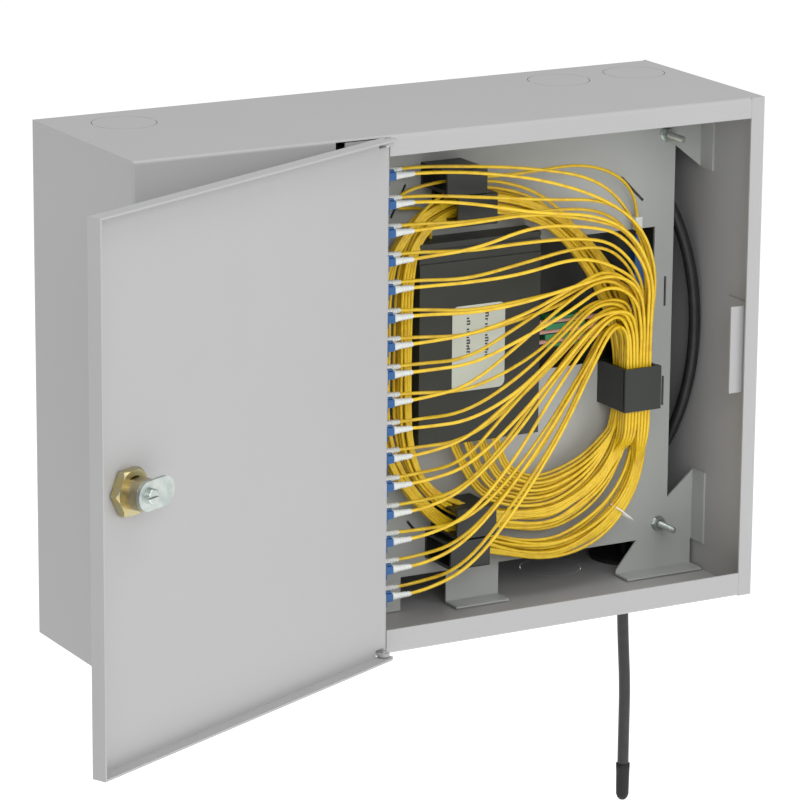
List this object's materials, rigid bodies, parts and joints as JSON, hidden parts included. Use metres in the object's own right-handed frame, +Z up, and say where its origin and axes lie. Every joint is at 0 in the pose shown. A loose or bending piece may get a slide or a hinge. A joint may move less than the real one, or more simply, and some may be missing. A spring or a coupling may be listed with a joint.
{
  "type": "fiber termination box",
  "caption": "Wall-mounted fibre termination box with a hinged locking door, a fixed front panel, an adapter patch bay, a splitter module and clips for coiled pigtails.",
  "frame": {"origin": "centre of the four wall screw holes, on the back face of the case", "axes": "+Z up, +Y into the wall, +X to the right of somebody facing the box"},
  "size_m": [0.4826, 0.2484, 0.4574],
  "materials": {
    "case_paint": "light grey powder coat, satin, fine texture",
    "chassis_paint": "light grey powder coat, satin",
    "plated_steel": "bright zinc plate",
    "yellow_plating": "yellow chromated zinc",
    "adapter_plastic": "moulded, semi gloss",
    "plug_plastic": "moulded, semi gloss",
    "boot_plastic": "moulded elastomer, matt",
    "cap_plastic": "moulded, translucent white",
    "black_abs": "moulded, fine texture",
    "label_stock": "printed film, satin",
    "clip_plastic": "moulded nylon, satin",
    "cord_jacket": "extruded jacket, satin",
    "input_plastic": "moulded, semi gloss",
    "tray_plastic": "moulded, satin",
    "holder_plastic": "moulded, satin",
    "sleeve_film": "heat shrunk film, glossy",
    "grommet_rubber": "moulded, matt",
    "cable_jacket": "extruded jacket, satin"
  },
  "bodies": {
    "root": {"adapter_plate_1": "case_paint", "adapter_plate_2": "case_paint", "adapter_plate_3": "case_paint", "adapter_plate_4": "case_paint", "adapters_1": "adapter_plastic", "adapters_2": "adapter_plastic", "adapters_3": "adapter_plastic", "adapters_4": "adapter_plastic", "cable_end_cap": "grommet_rubber", "cable_grommet": "grommet_rubber", "cable_saddles": "chassis_paint", "case_wrap": "case_paint", "chassis_plate": "chassis_paint", "clip_bottom_inner_base": "clip_plastic", "clip_bottom_outer_base": "clip_plastic", "clip_right_base": "clip_plastic", "clip_top_inner_base": "clip_plastic", "clip_top_outer_base": "clip_plastic", "connector_bodies": "plug_plastic", "connector_boots": "boot_plastic", "dust_caps": "cap_plastic", "feed_cable_loop": "cable_jacket", "feed_cable_tail": "cable_jacket", "hinge_pins": "plated_steel", "hinge_post": "case_paint", "input_adapter": "input_plastic", "input_connector": "plug_plastic", "input_pigtail": "cord_jacket", "knockout_discs": "case_paint", "mounting_studs": "plated_steel", "pigtail_outlets": "cord_jacket", "pigtail_ring": "cord_jacket", "pigtail_rise": "cord_jacket", "pigtails_1": "cord_jacket", "pigtails_2": "cord_jacket", "pigtails_3": "cord_jacket", "pigtails_4": "cord_jacket", "right_end": "case_paint", "splice_holder": "holder_plastic", "splice_sleeves": "sleeve_film", "splice_tray": "tray_plastic", "splitter_case": "black_abs", "splitter_cover": "black_abs", "splitter_label": "label_stock", "strike_bracket": "case_paint", "stud_nuts": "plated_steel", "stud_washers": "plated_steel"},
    "door": {"door_panel": "case_paint", "lock_barrel": "yellow_plating", "lock_washer": "plated_steel", "lock_nut": "yellow_plating"},
    "lock_core": {"lock_plug": "plated_steel", "lock_cam": "plated_steel", "cam_screw": "plated_steel"},
    "clip_bottom_inner_gate_body": {"clip_bottom_inner_gate": "clip_plastic"},
    "clip_bottom_outer_gate_body": {"clip_bottom_outer_gate": "clip_plastic"},
    "clip_right_gate_body": {"clip_right_gate": "clip_plastic"},
    "clip_top_inner_gate_body": {"clip_top_inner_gate": "clip_plastic"},
    "clip_top_outer_gate_body": {"clip_top_outer_gate": "clip_plastic"}
  },
  "joints": [
    {"name": "door_hinge", "type": "hinge", "parent": "root", "child": "door", "pos_m": [-0.0505, -0.1366, 0], "axis": [0, 0, -1], "range_deg": [-155, 24]},
    {"name": "lock_turn", "type": "hinge", "parent": "door", "child": "lock_core", "pos_m": [-0.25397, -0.23148, 0], "axis": [0.4226, -0.9063, 0], "range_deg": [0, 180]},
    {"name": "clip_top_inner_hinge", "type": "hinge", "parent": "root", "child": "clip_top_inner_gate_body", "pos_m": [0.03, -0.0971, 0.1021], "axis": [-1, 0, 0], "range_deg": [0, 40]},
    {"name": "clip_top_outer_hinge", "type": "hinge", "parent": "root", "child": "clip_top_outer_gate_body", "pos_m": [0.023, -0.0971, 0.1171], "axis": [-1, 0, 0], "range_deg": [0, 40]},
    {"name": "clip_bottom_inner_hinge", "type": "hinge", "parent": "root", "child": "clip_bottom_inner_gate_body", "pos_m": [0.032, -0.0971, -0.0996], "axis": [1, 0, 0], "range_deg": [0, 40]},
    {"name": "clip_bottom_outer_hinge", "type": "hinge", "parent": "root", "child": "clip_bottom_outer_gate_body", "pos_m": [0.028, -0.0971, -0.1171], "axis": [1, 0, 0], "range_deg": [0, 40]},
    {"name": "clip_right_hinge", "type": "hinge", "parent": "root", "child": "clip_right_gate_body", "pos_m": [0.1319, -0.0971, -0.025], "axis": [0, 0, -1], "range_deg": [0, 40]}
  ]
}
